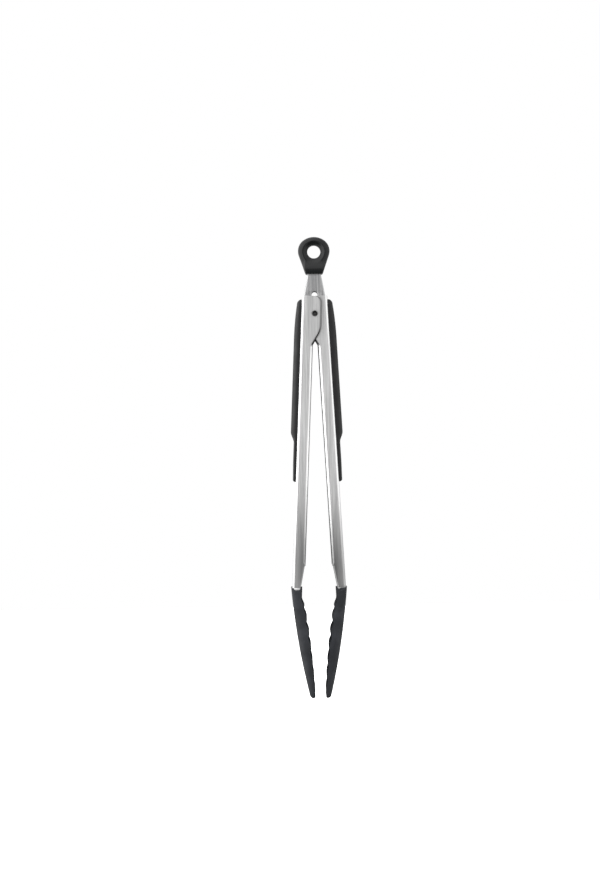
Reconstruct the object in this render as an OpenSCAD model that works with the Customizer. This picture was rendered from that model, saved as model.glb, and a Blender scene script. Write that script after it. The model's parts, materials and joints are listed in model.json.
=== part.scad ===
// Spring loaded kitchen tongs, locked nearly shut by the pulled-out tab.
// +Z runs up the tongs, +Y along the hinge pin and X is the way the arms open.
// The origin is the centre of the hanging hole.

/* [Arms] */
// Outer width of the wider arm
arm_w = 22; // [18:0.5:28]
// Thickness of the steel sheet
sheet = 0.9; // [0.7:0.05:1.2]
// From the hinge axis out to the outer face of each web
web_out = 10.2; // [9.8:0.1:13]
// Depth of the channel, web to rolled edge
arm_depth = 9.5; // [8:0.1:9.6]
// From the hinge axis up to the arms' top edge
arm_top = 13.2; // [11:0.1:14]
// From the hinge axis down to where the steel meets the head
steel_len = 208.5; // [170:1:260]
// Outer radius of the bends between web and flanges
bend_r = 2; // [1.4:0.1:2.6]
// Angle of each arm to the centre line when locked
rest_angle = 2.8; // [2.8:0.05:6]

/* [Hinge] */
// Diameter of the hinge pin
pin_d = 4; // [3:0.1:5]
// How far the outer arm's cheek reaches past the hinge axis
lobe_reach = 5.1; // [4.5:0.1:6.5]
// How far the inner arm's cheek reaches past the hinge axis
inner_lobe_reach = 4.2; // [3.6:0.1:4.6]
// Diameter of the spring wire
wire_d = 1.4; // [1:0.1:1.6]
// Radial play between the spring's coil and its bush
coil_play = 0.5; // [0.3:0.05:0.7]
// Full turns in the spring's coil
coil_turns = 3; // [2:1:4]

/* [Locking tab and loop] */
// From the hanging hole's centre down to the hinge axis, tab pulled out
hinge_drop = 47.2; // [46.4:0.1:56]
// Depth of the folded steel tab along the pin
tab_depth = 11; // [10:0.1:13.5]
// Gap from the tab's widest point to each web's inner face
tab_web_gap = 1.2; // [1.2:0.1:2]
// Half the tab's width where it enters the loop
tab_neck_half_w = 5.2; // [4.4:0.1:5.2]
// How far the tab slides in when the arms open
tab_travel = 12.6; // [10:0.1:12.6]
// Radius of the hanging hole
hole_r = 5; // [4:0.25:7]
// Outer radius of the loop
loop_r = 12; // [11:0.5:16]
// Thickness of the loop around the hole
loop_thick = 9.6; // [8:0.2:12]

/* [Grips] */
// Thickness of the grip over its thick part
grip_thick = 5.1; // [4:0.1:7]
// Thickness of the grip's thin tail
grip_tail_thick = 2.7; // [2.4:0.1:3.6]
// Top end of the grip above the hinge axis
grip_top = 10.2; // [8:0.1:11]
// Length of the grip's thick part below the hinge axis
grip_step = 92.8; // [80:0.1:120]
// Length of the grip below the hinge axis
grip_len = 127.7; // [120:0.5:150]

/* [Heads] */
// Length of each head
head_len = 83.5; // [76:0.5:110]
// Widest part of each head
head_w = 34; // [29:0.5:44]
// Width of each head at its rounded tip
tip_w = 22; // [16:0.5:28]
// Wall of the silicone at the sides
head_wall = 2.4; // [2:0.1:3]
// Wall of the silicone at the back
head_back = 3.6; // [3.4:0.1:4.4]
// Height of the scallops along each rim
scallop = 0.5; // [0:0.1:0.9]
// Length of one scallop
scallop_pitch = 10.8; // [9:0.2:20]

/* [Hidden] */
$fn = 64;

arc_steps = 12;
eps = 0.01;
big = 60;

// Fits and clearances
pin_fit = 0.05;
nest_gap = 0.2;
slide_fit = 0.1;
side_play = 0.15;
stud_fit = 0.1;
rivet_fit = 0.05;

left = -1;
right = 1;
function arm_width(side) = side == left ? arm_w : arm_w - 2 * (sheet + nest_gap);
function reach_of(side) = side == left ? lobe_reach : inner_lobe_reach;

// Channel
lip_x = arm_depth - web_out;
corner_r = 5;
lobe_r = 15;
flank_angle = 28.5;
flank_end = -23.3;
lip_return = 1.7;
lip_end = steel_len - 17.5;
lip_step = 1;
end_depth = 6.5;
tongue_len = 26;
tongue_half_w = 6;
tongue_start = 2;
head_lean = 8;

// Hinge
pin_r = pin_d / 2;
pin_head_r = pin_r + 0.7;
pin_head_t = 0.35;
pin_bore_r = pin_r - 0.5;
pin_bore_depth = 4;
spacer_r = pin_r + 2;
bush_wall = 1.2;
coil_r = pin_r + bush_wall + coil_play + wire_d / 2;
coil_pitch = wire_d + 0.1;
leg_drop = 28;
leg_gap = 0.25;
wire_sides = 8;
coil_steps = 20;

// Locking tab
tab_plate_in = tab_depth / 2 - sheet;
neck_drop = 17.9;
tab_flare_z = arm_top + 0.46;
tab_half_w = web_out - sheet - tab_web_gap;
tab_taper = (tab_half_w - tab_neck_half_w) / (hinge_drop - neck_drop - tab_flare_z);
tab_wall_z = 9;
tab_foot_half_w = 6;
tab_foot_z = -6;
slot_r = pin_r + slide_fit;
slot_low = -1.5;
slot_spare = 1.7;
tab_in_loop = 5.2;

// Loop
loop_crown_r = loop_r + 1.6;
loop_side_r = loop_r - 2;
loop_side_z = 0.7;
loop_base_z = -16.6;
loop_base_half_w = 6.9;
loop_base_r = 1.6;
loop_wall = 1.5;
loop_steps = 16;
loop_flare_top = -8;
loop_flare_low = -13;

// Grips
grip_inset = 1.6;
grip_top_r = 3.4;
grip_top_thick = grip_thick - 1.3;
grip_full_z = -22;
grip_step_len = 5.7;
grip_side_r = 2;
grip_tail_r = 1.6;
core_thick = 1.2;
core_side = 1.6;
core_end = 3;
stud_r = 2;
stud_head_r = 3;
stud_head_t = 1;
stud_z = [-45, -75, -105];

// Heads
collar_lip = 1.2;
collar_proud = 0.8;
collar_rim_x = -3.1;
collar_from = 6;
collar_to = 13;
rim_top = -4.2;
head_stations = 56;
head_sides = 16;
head_round = 0.72;
hollow_start = 9;
hollow_full = 24;
widest_at = 0.56;
tip_round = 7;
tip_end_share = 0.3;
core_plate_t = 1.5;
core_half_w = 6;
rivet_r = 1.4;
rivet_head_t = 0.4;
rivet_head_r = 2.2;
rivet_drops = [9, 19];

// Points on an arc, from angle a to angle b
function arc(centre, r, a, b, steps = arc_steps) =
    [for (i = [0:steps]) centre + r * [cos(a + (b - a) * i / steps), sin(a + (b - a) * i / steps)]];

// Puts a piece drawn in an arm's own frame, hinge axis at its origin and web at -X, in its place.
module at_arm(side) {
    translate([0, 0, -hinge_drop])
        if (side == left) rotate([0, rest_angle, 0]) children();
        else mirror([1, 0, 0]) rotate([0, rest_angle, 0]) children();
}

module at_hinge() {
    translate([0, 0, -hinge_drop]) children();
}

// A side outline, X across and Z up, made as deep as depth along Y
module side_plate(depth) {
    rotate([90, 0, 0]) linear_extrude(depth, center = true) children();
}

module along_y(r, length) {
    rotate([90, 0, 0]) cylinder(r = r, h = length, center = true);
}

module along_x(r, length) {
    rotate([0, 90, 0]) cylinder(r = r, h = length);
}

module tube_y(outer, inner, from, to) {
    rotate([-90, 0, 0]) translate([0, 0, from]) difference() {
        cylinder(r = outer, h = to - from);
        translate([0, 0, -eps]) cylinder(r = inner, h = to - from + 2 * eps);
    }
}

// ---- Arms ----

// Cheek and flange seen from the side
function arm_outline(reach) =
    let (
        arc_x = reach - lobe_r * (1 - cos(flank_angle)),
        arc_z = flank_end + (arc_x - lip_x) / tan(flank_angle),
        lobe_z = arc_z + lobe_r * sin(flank_angle)
    )
    concat(
        [[-web_out, arm_top]],
        arc([reach - corner_r, arm_top - corner_r], corner_r, 90, 0),
        arc([reach - lobe_r, lobe_z], lobe_r, 0, -flank_angle),
        [
            [lip_x, flank_end],
            [lip_x, -lip_end],
            [lip_x - lip_step, -lip_end - lip_step / 2],
            [end_depth - web_out, -steel_len],
            [-web_out, -steel_len]
        ]
    );

// Plan of the channel, open towards +X
module channel_plan(face_x, half_w, r) {
    translate([face_x + r, -half_w]) square([big, 2 * half_w]);
    translate([face_x, r - half_w]) square([big, 2 * (half_w - r)]);
    for (s = [-1, 1]) translate([face_x + r, s * (half_w - r)]) circle(r);
}

module channel_bar(face_x, half_w, r) {
    translate([0, 0, -steel_len - big]) linear_extrude(steel_len + 2 * big) channel_plan(face_x, half_w, r);
}

// Edges turned inwards so that no raw steel meets the hand
module rolled_edges(half_w) {
    for (s = [-1, 1])
        translate([lip_x - sheet, s > 0 ? half_w - lip_return : -half_w, -lip_end])
            cube([sheet, lip_return, lip_end + flank_end]);
}

// Flat end of the web, bent inwards, that the head is fixed to
module tongue() {
    translate([-web_out, 0, -steel_len + tongue_start]) rotate([0, -head_lean, 0])
        translate([0, -tongue_half_w, -tongue_len]) cube([sheet, 2 * tongue_half_w, tongue_len]);
}

// Places a piece on the tongue: X out of its outer face, drop down along it
module on_tongue(drop) {
    translate([-web_out, 0, -steel_len + tongue_start]) rotate([0, -head_lean, 0])
        translate([0, 0, -drop]) children();
}

module arm(side) {
    half_w = arm_width(side) / 2;
    difference() {
        union() {
            difference() {
                intersection() {
                    side_plate(arm_w + big) polygon(arm_outline(reach_of(side)));
                    channel_bar(-web_out, half_w, bend_r);
                }
                channel_bar(sheet - web_out, half_w - sheet, bend_r - sheet);
            }
            rolled_edges(half_w);
            tongue();
        }
        along_y(pin_r + pin_fit, arm_w + big);
        for (z = stud_z) translate([-web_out - big / 2, 0, z]) along_x(stud_r + stud_fit, big / 2 + sheet + 2);
        for (drop = rivet_drops) on_tongue(drop) translate([-sheet, 0, 0]) along_x(rivet_r + rivet_fit, 3 * sheet);
    }
}

module left_arm() {
    color("silver") at_arm(left) arm(left);
}

module right_arm() {
    color("silver") at_arm(right) arm(right);
}

// ---- Grips ----

function grip_outline() =
    concat(
        [[-web_out, grip_top]],
        arc([grip_top_r - web_out - grip_top_thick, grip_top - grip_top_r], grip_top_r, 90, 180),
        [
            [-web_out - grip_thick, grip_full_z],
            [-web_out - grip_thick, grip_step_len / 2 - grip_step],
            [-web_out - grip_tail_thick, -grip_step - grip_step_len]
        ],
        arc([grip_tail_r - web_out - grip_tail_thick, grip_tail_r - grip_len], grip_tail_r, 180, 270),
        [[-web_out, -grip_len]]
    );

module core_plate(side) {
    half_w = arm_width(side) / 2 - grip_inset - core_side;
    translate([-web_out - core_thick, -half_w, core_end - grip_len])
        cube([core_thick, 2 * half_w, grip_len + grip_top - 2 * core_end]);
}

// Stiff strip under the soft grip, snapped through the web
module grip_core(side) {
    core_plate(side);
    for (z = stud_z) {
        translate([-web_out, 0, z]) along_x(stud_r, sheet);
        translate([sheet - web_out, 0, z]) along_x(stud_head_r, stud_head_t);
    }
}

module grip(side) {
    half_w = arm_width(side) / 2 - grip_inset;
    difference() {
        intersection() {
            side_plate(2 * half_w) polygon(grip_outline());
            translate([0, 0, -grip_len - eps]) linear_extrude(grip_len + grip_top + 2 * eps)
                intersection() {
                    channel_plan(-web_out - grip_thick, half_w, grip_side_r);
                    translate([-web_out - big, -big]) square([big, 2 * big]);
                }
        }
        core_plate(side);
    }
}

module left_grip() {
    color("dimgray") at_arm(left) grip(left);
}

module right_grip() {
    color("dimgray") at_arm(right) grip(right);
}

module left_grip_core() {
    color("darkslategray") at_arm(left) grip_core(left);
}

module right_grip_core() {
    color("darkslategray") at_arm(right) grip_core(right);
}

// ---- Heads ----
// s is the distance down from the head's top edge.

head_top_z = 0.5 - steel_len;
collar_half_w = arm_w / 2 + collar_lip;
back_top = -web_out - collar_proud;
back_slope = 0.1235;
back_bow = 0.0905;
rim_slope = 0.2478;
rim_bow = 0.074;
scallop_first = 21;
scallop_from = 13;
scallop_to = head_len - 2;

function ramp(v, a, b) = let (t = min(1, max(0, (v - a) / (b - a)))) t * t * (3 - 2 * t);
function back_x(s) = back_top + back_slope * s + back_bow * s * s / head_len;
function scallop_at(s) =
    scallop * cos(360 * (s - scallop_first) / scallop_pitch)
    * ramp(s, scallop_from, scallop_from + 5) * (1 - ramp(s, scallop_to - 5, scallop_to));
function rim_line(s) = rim_top + rim_slope * s - rim_bow * s * s / head_len;
function rim_x(s) =
    collar_rim_x + (rim_line(s) - collar_rim_x) * ramp(s, collar_from, collar_to) + scallop_at(s);
function round_tip(s) =
    let (t = max(0, s - head_len + tip_round) / tip_round) tip_end_share + (1 - tip_end_share) * sqrt(1 - t * t);
function half_w_at(s) =
    let (f = s / head_len)
    (f < widest_at
        ? collar_half_w + (head_w / 2 - collar_half_w) * ramp(f, 0, widest_at)
        : head_w / 2 + (tip_w - head_w) / 2 * ramp(f, widest_at, 1.08)) * round_tip(s);
function hollow_at(s) = ramp(s, hollow_start, hollow_full) * (1 - ramp(s, head_len - 12, head_len - 3));
function floor_x(s) =
    let (solid = rim_x(s) - 0.3)
    solid + (back_x(s) + head_back - solid) * hollow_at(s);
function bowl(v) = sign(v) * pow(abs(v), head_round);
function u_point(s, a, half_w, bottom) =
    [rim_x(s) + (bottom - rim_x(s)) * bowl(cos(a)), half_w * bowl(sin(a)), head_top_z - s];
function u_row(s, half_w, bottom) =
    [for (i = [0:head_sides]) u_point(s, -90 + 180 * i / head_sides, half_w, bottom)];

// One closed trough: every ring is an outer row of points and then an inner row
module trough() {
    per_row = head_sides + 1;
    ring = 2 * per_row;
    stations = [for (i = [0:head_stations]) head_len * i / head_stations];
    rings = [for (s = stations) each concat(
        u_row(s, half_w_at(s), back_x(s)),
        u_row(s, half_w_at(s) - head_wall * round_tip(s), floor_x(s)))];
    last = head_stations * ring;
    walls = [for (k = [0:head_stations - 1], i = [0:head_sides - 1])
        let (o = k * ring + i, n = o + per_row)
        each [[o, o + ring, o + ring + 1, o + 1], [n, n + 1, n + ring + 1, n + ring]]];
    edges = [for (k = [0:head_stations - 1])
        let (o = k * ring, e = o + head_sides)
        each [[o, o + per_row, o + per_row + ring, o + ring], [e, e + ring, e + per_row + ring, e + per_row]]];
    caps = [for (i = [0:head_sides - 1])
        each [[i, i + 1, i + 1 + per_row, i + per_row],
            [last + i, last + i + per_row, last + i + 1 + per_row, last + i + 1]]];
    polyhedron(points = rings, faces = [for (f = concat(walls, edges, caps))
        each [[f[0], f[1], f[2]], [f[0], f[2], f[3]]]]);
}

// Stiff plate that carries the silicone, riveted inside the bent tongue
module head_core_plate() {
    on_tongue(tongue_start + 3) translate([sheet, -core_half_w, -tongue_len + 6])
        cube([core_plate_t, 2 * core_half_w, tongue_len - 6]);
}

module head_core() {
    difference() {
        head_core_plate();
        for (drop = rivet_drops) on_tongue(drop) along_x(rivet_r + rivet_fit, 3 * core_plate_t);
    }
}

module head_rivets() {
    for (drop = rivet_drops) on_tongue(drop) {
        along_x(rivet_r, sheet + core_plate_t);
        translate([-rivet_head_t, 0, 0]) along_x(rivet_head_r, rivet_head_t);
        translate([sheet + core_plate_t, 0, 0]) along_x(rivet_head_r, rivet_head_t);
    }
}

module head(side) {
    difference() {
        trough();
        arm_end(side);
        tongue();
        head_core_plate();
        for (drop = rivet_drops) on_tongue(drop)
            translate([-rivet_head_t, 0, 0]) along_x(rivet_head_r, sheet + core_plate_t + 2 * rivet_head_t);
    }
}

// The steel's cut end, as the collar is moulded round it
module arm_end(side) {
    half_w = arm_width(side) / 2;
    difference() {
        intersection() {
            side_plate(arm_w + big) polygon(arm_outline(reach_of(side)));
            channel_bar(-web_out, half_w, bend_r);
            translate([-big, -big, -steel_len]) cube([2 * big, 2 * big, 3]);
        }
        channel_bar(sheet - web_out, half_w - sheet, bend_r - sheet);
    }
}

module left_head() {
    color("slategray") at_arm(left) head(left);
}

module right_head() {
    color("slategray") at_arm(right) head(right);
}

module left_head_core() {
    color("black") at_arm(left) head_core();
}

module right_head_core() {
    color("black") at_arm(right) head_core();
}

module left_head_rivets() {
    color("gainsboro") at_arm(left) head_rivets();
}

module right_head_rivets() {
    color("gainsboro") at_arm(right) head_rivets();
}

// ---- Hinge ----

// Tubular rivet: a plain shank with a hollow, rolled-over head at each end
module hinge_pin() {
    half = arm_w / 2 + 0.05;
    color("gray") at_hinge() difference() {
        union() {
            along_y(pin_r, 2 * half);
            for (s = [-1, 1]) translate([0, s * (half + pin_head_t / 2), 0]) along_y(pin_head_r, pin_head_t);
        }
        for (s = [-1, 1]) translate([0, s * (half + pin_head_t), 0]) along_y(pin_bore_r, 2 * pin_bore_depth);
    }
}

// Rings that keep the tab in the middle of the inner arm
module hinge_spacers() {
    outside = arm_width(right) / 2 - sheet - side_play;
    inside = tab_depth / 2 + side_play;
    color("gray") at_hinge() {
        tube_y(spacer_r, pin_r + pin_fit, inside, outside);
        tube_y(spacer_r, pin_r + pin_fit, -outside, -inside);
    }
}

module spring_bush() {
    half = tab_plate_in - side_play;
    color("whitesmoke") at_hinge() tube_y(pin_r + bush_wall, pin_r + pin_fit, -half, half);
}

wire_r = wire_d / 2;
leg_x = (web_out - sheet) * cos(rest_angle) + leg_drop * sin(rest_angle) - wire_r - leg_gap;
leg_out = norm([leg_x, leg_drop]);
leg_turn = acos(coil_r / leg_out) - atan2(leg_x, leg_drop);
coil_start = 90 + leg_turn;
coil_sweep = 360 * coil_turns + 2 * leg_turn;
coil_rings = ceil(coil_steps * coil_sweep / 360);
coil_half = coil_pitch * coil_sweep / 720;

function coil_point(i) =
    let (a = coil_start - coil_sweep * i / coil_rings)
    [coil_r * cos(a), -coil_half + 2 * coil_half * i / coil_rings, coil_r * sin(a)];
wire_path = concat(
    [[-leg_x, -coil_half, -leg_drop]],
    [for (i = [0:coil_rings]) coil_point(i)],
    [[leg_x, coil_half, -leg_drop]]
);

// Round wire swept along points that lie nearly in planes across Y
module wire(points) {
    n = len(points);
    rings = [for (i = [0:n - 1])
        let (
            t = points[min(i + 1, n - 1)] - points[max(i - 1, 0)],
            side = [t[2], 0, -t[0]] / norm([t[0], t[2]])
        )
        each [for (k = [0:wire_sides - 1])
            points[i] + wire_r * (cos(360 * k / wire_sides) * side + sin(360 * k / wire_sides) * [0, 1, 0])]];
    skin = [for (i = [0:n - 2], k = [0:wire_sides - 1])
        let (a = i * wire_sides + k, b = i * wire_sides + (k + 1) % wire_sides)
        each [[a, b, b + wire_sides], [a, b + wire_sides, a + wire_sides]]];
    first = [for (k = [1:wire_sides - 2]) [0, k + 1, k]];
    end = (n - 1) * wire_sides;
    last = [for (k = [1:wire_sides - 2]) [end, end + k, end + k + 1]];
    polyhedron(points = rings, faces = concat(skin, first, last));
}

module torsion_spring() {
    color("lightsteelblue") at_hinge() wire(wire_path);
}

// ---- Locking tab and loop ----

function tab_half_at(z) = tab_half_w - tab_taper * (z - tab_flare_z);
tab_end_z = hinge_drop + loop_base_z + tab_in_loop;

function tab_outline(inset) =
    let (
        right_side = [
            [tab_half_at(tab_end_z) - inset, tab_end_z],
            [tab_half_w - inset, tab_flare_z],
            [tab_half_w - inset, tab_wall_z],
            [tab_foot_half_w - inset, 0],
            [tab_foot_half_w - inset, tab_foot_z + 2],
            [tab_foot_half_w - inset - 2, tab_foot_z]
        ]
    )
    concat(right_side, [for (i = [len(right_side) - 1:-1:0]) [-right_side[i][0], right_side[i][1]]]);

module tab_slot() {
    high = tab_travel + slot_spare;
    translate([-slot_r, slot_low]) square([2 * slot_r, high - slot_low]);
    translate([0, slot_low]) circle(slot_r);
    translate([0, high]) circle(slot_r);
}

// Sheet folded into a wedge: two plates all the way down, joined by side walls above the spring
module tab_sheet() {
    difference() {
        side_plate(tab_depth) polygon(tab_outline(0));
        intersection() {
            side_plate(2 * tab_plate_in) polygon(tab_outline(sheet));
            translate([-big, -big, tab_wall_z]) cube(2 * big);
        }
        translate([-big, -tab_plate_in, tab_wall_z - big]) cube([2 * big, 2 * tab_plate_in, big]);
        side_plate(tab_depth + big) tab_slot();
    }
}

module lock_tab() {
    color("silver") at_hinge() tab_sheet();
}

function inner_points(points) = [for (i = [1:len(points) - 2]) points[i]];

// Teardrop seen from the front: a flat crown over two rounder sides, then straight down to the base
module loop_outline() {
    side = [loop_r - loop_side_r, loop_side_z];
    crown_z = side[1] - sqrt(pow(loop_crown_r - loop_side_r, 2) - pow(side[0], 2));
    join = atan2(side[1] - crown_z, side[0]);
    corner = [loop_base_half_w - loop_base_r, loop_base_z + loop_base_r];
    span = corner - side;
    lean = atan2(span[0], -span[1]) - asin((loop_side_r - loop_base_r) / norm(span));
    polygon(concat(
        arc(side, loop_side_r, lean, join, loop_steps),
        inner_points(arc([0, crown_z], loop_crown_r, join, 180 - join, loop_steps)),
        arc([-side[0], side[1]], loop_side_r, 180 - join, 180 - lean, loop_steps),
        arc([-corner[0], corner[1]], loop_base_r, 180 - lean, 270),
        arc(corner, loop_base_r, -90, lean)
    ));
}

// Thickness seen from the side: even round the eye, flared where it grips the tab
module loop_profile() {
    thin = loop_thick / 2;
    thick = tab_depth / 2 + loop_wall;
    polygon([
        [thin, loop_r], [thin, loop_flare_top], [thick, loop_flare_low], [thick, loop_base_z],
        [-thick, loop_base_z], [-thick, loop_flare_low], [-thin, loop_flare_top], [-thin, loop_r]
    ]);
}

module hang_loop() {
    color("dimgray") difference() {
        intersection() {
            side_plate(big) loop_outline();
            rotate([90, 0, 90]) linear_extrude(big, center = true) loop_profile();
        }
        along_y(hole_r, big);
        at_hinge() tab_sheet();
    }
}

lock_tab();
hang_loop();
hinge_pin();
hinge_spacers();
spring_bush();
torsion_spring();
left_arm();
left_grip();
left_grip_core();
left_head();
left_head_core();
left_head_rivets();
right_arm();
right_grip();
right_grip_core();
right_head();
right_head_core();
right_head_rivets();
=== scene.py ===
import json
import math

import bmesh
import bpy
import numpy as np
from mathutils import Matrix, Vector


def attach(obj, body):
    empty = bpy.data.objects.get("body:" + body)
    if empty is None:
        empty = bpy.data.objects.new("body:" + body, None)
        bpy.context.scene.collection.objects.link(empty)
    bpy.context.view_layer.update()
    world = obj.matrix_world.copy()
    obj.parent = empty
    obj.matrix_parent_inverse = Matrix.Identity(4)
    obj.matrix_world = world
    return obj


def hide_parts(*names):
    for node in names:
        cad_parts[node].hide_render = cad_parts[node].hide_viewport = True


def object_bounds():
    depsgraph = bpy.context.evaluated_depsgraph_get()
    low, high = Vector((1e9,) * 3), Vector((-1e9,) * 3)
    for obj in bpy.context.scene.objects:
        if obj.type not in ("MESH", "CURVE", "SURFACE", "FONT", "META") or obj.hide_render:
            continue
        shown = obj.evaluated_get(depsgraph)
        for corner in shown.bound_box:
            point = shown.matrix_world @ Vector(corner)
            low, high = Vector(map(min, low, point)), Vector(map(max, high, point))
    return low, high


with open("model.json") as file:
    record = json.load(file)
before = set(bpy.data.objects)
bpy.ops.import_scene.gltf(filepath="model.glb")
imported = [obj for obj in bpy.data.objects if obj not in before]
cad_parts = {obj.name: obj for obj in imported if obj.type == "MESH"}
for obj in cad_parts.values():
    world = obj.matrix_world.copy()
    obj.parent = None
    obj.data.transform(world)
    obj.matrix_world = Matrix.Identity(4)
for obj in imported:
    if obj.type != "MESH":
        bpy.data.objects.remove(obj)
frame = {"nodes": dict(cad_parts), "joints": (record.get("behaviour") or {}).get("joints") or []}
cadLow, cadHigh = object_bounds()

mm = 0.001
left, right = -1, 1
hingeZ = next(j["pos_m"][2] for j in frame["joints"] if j["name"] == "left_arm_pivot") / mm
restAngle = 2.8  # degrees each arm stands off the middle

# sizes in millimetres, in an arm's own frame: hinge axis at the origin, web at -x
armShape = {
    "width": {left: 22.0, right: 19.8},
    "reach": {left: 5.1, right: 4.2},
    "sheet": 0.9, "webOut": 10.2, "top": 13.2, "depth": 9.5, "bend": 2.0,
    "cornerRadius": 5.0, "lobeRadius": 15.0, "flankAngle": 28.5, "flankEnd": -23.3,
    "rollRadius": 2.3, "rollTurn": 112.0, "rollRun": 2.0, "rollEnd": -191.0, "stepIn": 0.6,
    "edgeRadius": 1.25, "edgeTurn": 86.0, "ridgeAt": -209.4, "ridge": 0.55, "ridgeHalf": 1.5,
    "endDepth": 6.5, "steelEnd": -212.0, "endRound": 1.3,
    "pinHole": 2.06, "studs": (-45.0, -75.0, -105.0), "studHole": 2.1,
}


# small tools
def say(stage):
    print("stage:", stage)


def ramp(v, low, high):
    t = np.clip((np.asarray(v, float) - low) / (high - low), 0, 1)
    return t * t * (3 - 2 * t)


def armMatrix(side):
    # left arm: turned about +y; right arm: its mirror image
    turn = Matrix.Rotation(math.radians(restAngle), 4, "Y")
    place = Matrix.Translation((0, 0, hingeZ)) @ turn
    return place if side == left else Matrix.Scale(-1, 4, (1, 0, 0)) @ place


hingeMatrix = Matrix.Translation((0, 0, hingeZ))


def sharpen(mesh, angle):
    bm = bmesh.new()
    bm.from_mesh(mesh)
    limit = math.radians(angle)
    for face in bm.faces:
        face.smooth = True
    for edge in bm.edges:
        edge.smooth = not (len(edge.link_faces) == 2 and edge.calc_face_angle(0) > limit)
    bm.to_mesh(mesh)
    bm.free()


def tidyMesh(mesh):
    bm = bmesh.new()
    bm.from_mesh(mesh)
    bmesh.ops.remove_doubles(bm, verts=bm.verts, dist=2e-7)
    bmesh.ops.dissolve_degenerate(bm, edges=bm.edges, dist=2e-7)
    bmesh.ops.recalc_face_normals(bm, faces=bm.faces)
    bm.to_mesh(mesh)
    bm.free()


def makePiece(name, points, faces, matrix=None, angle=40):
    # points in millimetres, in the frame that matrix places
    placed = matrix if matrix is not None else Matrix.Identity(4)
    full = np.array(placed)
    co = (np.asarray(points, float) @ full[:3, :3].T + full[:3, 3]) * mm
    mesh = bpy.data.meshes.new(name)
    mesh.from_pydata([tuple(p) for p in co], [], [tuple(int(i) for i in f) for f in faces])
    tidyMesh(mesh)
    sharpen(mesh, angle)
    obj = bpy.data.objects.new(name, mesh)
    bpy.context.scene.collection.objects.link(obj)
    return obj


def bake(obj, angle=40):
    # turns the modifiers into a plain mesh
    graph = bpy.context.evaluated_depsgraph_get()
    mesh = bpy.data.meshes.new_from_object(obj.evaluated_get(graph))
    obj.modifiers.clear()
    obj.data = mesh
    tidyMesh(mesh)
    sharpen(mesh, angle)
    return obj


def soften(obj, width, segments=2, angle=50):
    bevel = obj.modifiers.new("edges", "BEVEL")
    bevel.width = width * mm
    bevel.segments = segments
    bevel.limit_method = "ANGLE"
    bevel.angle_limit = math.radians(angle)
    bevel.use_clamp_overlap = True
    return bake(obj)


def combine(obj, cutter, operation):
    change = obj.modifiers.new("shape", "BOOLEAN")
    change.operation = operation
    change.solver = "EXACT"
    change.object = cutter
    bake(obj)
    bpy.data.objects.remove(cutter)
    return obj


def gridFaces(rows, columns, start=0, wrap=False):
    last = columns if wrap else columns - 1
    return [(start + r * columns + c, start + r * columns + (c + 1) % columns,
             start + (r + 1) * columns + (c + 1) % columns, start + (r + 1) * columns + c)
            for r in range(rows - 1) for c in range(last)]


def sheetLoft(outer, inner):
    # outer and inner are rows x columns x 3: the two skins of a wall, closed all round
    rows, columns = outer.shape[:2]
    points = np.concatenate([outer.reshape(-1, 3), inner.reshape(-1, 3)])
    n = rows * columns
    faces = gridFaces(rows, columns) + [f[::-1] for f in gridFaces(rows, columns, n)]
    for r in range(rows - 1):
        for c in (0, columns - 1):
            a, b = r * columns + c, (r + 1) * columns + c
            faces.append((a, b, b + n, a + n))
    for c in range(columns - 1):
        for a in (c, (rows - 1) * columns + c):
            faces.append((a, a + 1, a + 1 + n, a + n))
    return points, faces


def ringLoft(rings, closed=False):
    # rings is count x columns x 3, each ring a closed loop; open lofts get flat ends
    count, columns = rings.shape[:2]
    faces = gridFaces(count, columns, wrap=True)
    if closed:
        for c in range(columns):
            a, b = (count - 1) * columns + c, (count - 1) * columns + (c + 1) % columns
            faces.append((a, b, (c + 1) % columns, c))
    else:
        faces.append(tuple(range(columns))[::-1])
        faces.append(tuple((count - 1) * columns + c for c in range(columns)))
    return rings.reshape(-1, 3), faces


def turned(profile, steps=48):
    # a profile of (radius, y) pairs turned about the y axis
    a = np.linspace(0, 2 * math.pi, steps, endpoint=False)
    p = np.array(profile, float)
    rings = np.stack([np.outer(np.cos(a), p[:, 0]), np.tile(p[:, 1], (steps, 1)),
                      np.outer(np.sin(a), p[:, 0])], axis=2)
    return ringLoft(rings, closed=True)


def arc(cx, cy, r, a, b, steps):
    t = np.radians(np.linspace(a, b, steps + 1))
    return np.stack([cx + r * np.cos(t), cy + r * np.sin(t)], axis=1)


def cylinderCutter(name, radius, low, high, matrix, axis="y"):
    points, faces = turned([(0.001, low), (radius, low), (radius, high), (0.001, high)])
    if axis == "x":
        points = points[:, [1, 0, 2]]
    return makePiece(name, points, faces, matrix)


# arms
def armEdge(side, z):
    # how far the cheek or flange reaches towards +x at a height
    s = armShape
    reach, lip = s["reach"][side], s["depth"] - s["webOut"]
    r, corner = s["lobeRadius"], s["cornerRadius"]
    fa = math.radians(s["flankAngle"])
    arcX = reach - r * (1 - math.cos(fa))
    arcZ = s["flankEnd"] + (arcX - lip) / math.tan(fa)
    lobeZ = arcZ + r * math.sin(fa)
    if z > s["top"] - corner:
        return reach - corner + math.sqrt(max(0, corner ** 2 - (z - s["top"] + corner) ** 2))
    if z > lobeZ:
        return reach
    if z > arcZ:
        return reach - r + math.sqrt(r * r - (z - lobeZ) ** 2)
    if z > s["flankEnd"]:
        return lip + (z - s["flankEnd"]) * math.tan(fa)
    if z > s["rollEnd"]:
        return lip
    low = s["endDepth"] - s["webOut"]
    high = lip - s["stepIn"]
    t = (s["rollEnd"] - z) / (s["rollEnd"] - s["steelEnd"])
    return high + (low - high) * min(1, t * 1.25)


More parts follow.
